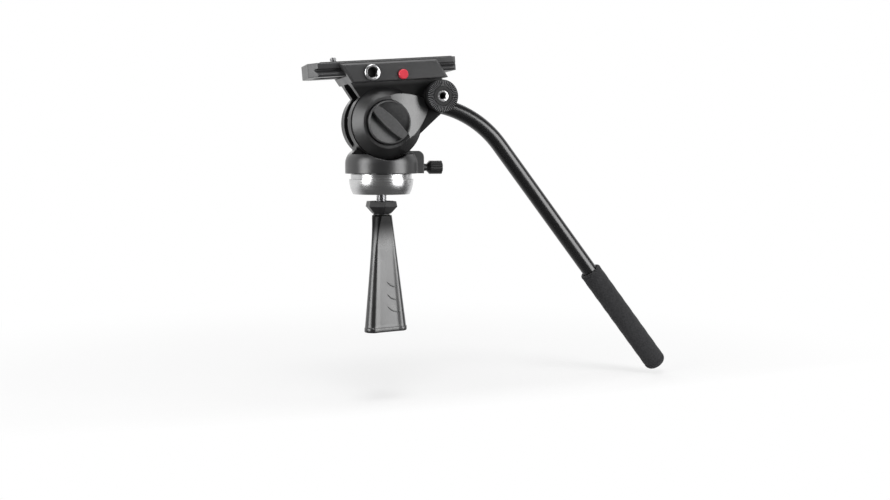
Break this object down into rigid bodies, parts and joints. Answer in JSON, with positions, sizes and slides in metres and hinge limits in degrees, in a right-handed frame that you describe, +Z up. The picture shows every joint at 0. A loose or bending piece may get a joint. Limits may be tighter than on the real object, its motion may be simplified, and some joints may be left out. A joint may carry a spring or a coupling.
{
  "type": "fluid video head",
  "caption": "Half-ball fluid video head with pan and tilt drag, toothed rosettes, sliding camera plate, bent pan bar with foam grip and a tie-down handle.",
  "frame": {"origin": "centre of the half ball", "axes": "+Z up along the pan axis, -X towards the lens, +X towards the operator, +Y away from the tilt knob's side"},
  "size_m": [0.3992, 0.1073, 0.3243],
  "materials": {
    "black_casting": "satin",
    "grey_casting": "satin",
    "bright_alloy": "polished",
    "black_plastic": "matte",
    "grey_plastic": "satin",
    "red_plastic": "gloss",
    "white_plastic": "satin",
    "chrome": "polished",
    "steel": "satin",
    "brass": "satin",
    "black_tube": "gloss",
    "foam": "matte",
    "black_rubber": "matte"
  },
  "bodies": {
    "bowl_mount": {"half_ball": "bright_alloy", "tie_stud": "steel", "pan_spindle": "steel", "spindle_screws": "steel"},
    "tie_cup": {"clamp_cup": "grey_plastic", "clamp_washer": "black_plastic"},
    "tie_down": {"tie_down_handle": "grey_plastic", "handle_nut": "brass"},
    "pan": {"pan_housing": "grey_casting", "base_cover": "black_casting", "base_screws": "steel", "pan_bush": "brass", "thrust_washer": "white_plastic", "drag_disc": "white_plastic", "tilt_pillar": "black_casting", "pillar_screws": "steel", "pillar_cap": "black_casting", "tilt_bushes": "brass", "side_washers": "white_plastic", "stator_discs": "brass"},
    "pan_brake": {"brake_pad": "brass"},
    "pan_lock": {"pan_lock_knob": "black_plastic", "pan_lock_screw": "steel"},
    "tilt": {"tilt_cradle": "black_casting", "near_cover": "grey_plastic", "far_cover": "grey_plastic", "cover_screws": "steel", "near_rosette": "grey_plastic", "far_rosette": "grey_plastic", "rosette_inserts": "chrome", "accessory_insert": "chrome", "tilt_shaft": "steel", "shaft_cap": "black_plastic", "rotor_discs": "steel", "button_spring": "steel"},
    "tilt_brake": {"pressure_ring": "brass"},
    "tilt_lock": {"tilt_knob": "black_plastic", "tilt_lock_screw": "steel"},
    "jaw": {"plate_jaw": "bright_alloy"},
    "plate_lock": {"plate_lock_lever": "black_plastic", "plate_lock_screw": "steel"},
    "safety": {"safety_button": "red_plastic"},
    "plate": {"camera_plate": "black_casting", "plate_pads": "black_rubber", "pin_spring": "steel"},
    "screw_carriage": {"screw_retainer": "steel"},
    "screw": {"camera_screw": "chrome"},
    "twist_pin": {"anti_twist_pin": "chrome"},
    "pan_bar": {"bar_tube": "black_tube", "bar_clamp": "black_plastic", "foam_grip": "foam"},
    "bar_clamp_knob": {"bar_knob": "black_plastic", "bar_screw": "steel"}
  },
  "joints": [
    {"name": "tie_cup_slide", "type": "slide", "parent": "bowl_mount", "child": "tie_cup", "axis": [0, 0, 1], "range_m": [-0.003, 0.003]},
    {"name": "tie_down_turn", "type": "hinge", "parent": "tie_cup", "child": "tie_down", "pos_m": [0, 0, -0.05], "axis": [0, 0, 1], "range_deg": [-735, 735]},
    {"name": "pan_turn", "type": "hinge", "parent": "bowl_mount", "child": "pan", "pos_m": [0, 0, 0], "axis": [0, 0, 1], "continuous": true},
    {"name": "pan_brake_slide", "type": "slide", "parent": "pan", "child": "pan_brake", "axis": [-1, 0, 0], "range_m": [-0.0004, 0.0004]},
    {"name": "pan_lock_turn", "type": "hinge", "parent": "pan_brake", "child": "pan_lock", "pos_m": [0.044, 0, 0.0108], "axis": [-1, 0, 0], "range_deg": [-190, 190]},
    {"name": "tilt_turn", "type": "hinge", "parent": "pan", "child": "tilt", "pos_m": [0, 0, 0.0515], "axis": [0, 1, 0], "range_deg": [-80, 40]},
    {"name": "tilt_brake_slide", "type": "slide", "parent": "tilt", "child": "tilt_brake", "axis": [0, 1, 0], "range_m": [-0.00025, 0.00025]},
    {"name": "tilt_lock_turn", "type": "hinge", "parent": "tilt_brake", "child": "tilt_lock", "pos_m": [0, -0.03, 0.0515], "axis": [0, 1, 0], "range_deg": [-95, 95]},
    {"name": "plate_slide", "type": "slide", "parent": "tilt", "child": "plate", "axis": [0.9971, 0, 0.0767], "range_m": [-0.035, 0.035]},
    {"name": "screw_slide", "type": "slide", "parent": "plate", "child": "screw_carriage", "axis": [0.9971, 0, 0.0767], "range_m": [-0.0115, 0.0355]},
    {"name": "camera_screw_turn", "type": "hinge", "parent": "screw_carriage", "child": "screw", "pos_m": [-0.04327, 0, 0.0925], "axis": [-0.0767, 0, 0.9971], "continuous": true},
    {"name": "twist_pin_press", "type": "slide", "parent": "plate", "child": "twist_pin", "axis": [-0.0767, 0, 0.9971], "range_m": [-0.0015, 0], "stiffness_N_per_m": 300, "springref_m": 0.002, "deforming": ["pin_spring"]},
    {"name": "jaw_slide", "type": "slide", "parent": "tilt", "child": "jaw", "axis": [0, 1, 0], "range_m": [0, 0.0008]},
    {"name": "plate_lock_turn", "type": "hinge", "parent": "jaw", "child": "plate_lock", "pos_m": [-0.00778, 0.034, 0.10045], "axis": [0, 1, 0], "range_deg": [-3, 93]},
    {"name": "safety_press", "type": "slide", "parent": "tilt", "child": "safety", "axis": [0, 1, 0], "range_m": [0, 0.0022], "stiffness_N_per_m": 500, "springref_m": -0.002, "deforming": ["button_spring"]},
    {"name": "pan_bar_turn", "type": "hinge", "parent": "tilt", "child": "pan_bar", "pos_m": [0.05007, 0.046, 0.07601], "axis": [0, 1, 0], "range_deg": [-60, 45]},
    {"name": "bar_knob_turn", "type": "hinge", "parent": "pan_bar", "child": "bar_clamp_knob", "pos_m": [0.05007, 0.046, 0.07601], "axis": [0, 1, 0], "range_deg": [-180, 180]}
  ],
  "couplings": [
    {"joint": "tie_down_turn", "follows": "tie_cup_slide", "rad_per_m": 4188.8},
    {"joint": "pan_lock_turn", "follows": "pan_brake_slide", "rad_per_m": 7854},
    {"joint": "tilt_lock_turn", "follows": "tilt_brake_slide", "rad_per_m": 6283.2},
    {"joint": "plate_lock_turn", "follows": "jaw_slide", "rad_per_m": 1963.5}
  ]
}
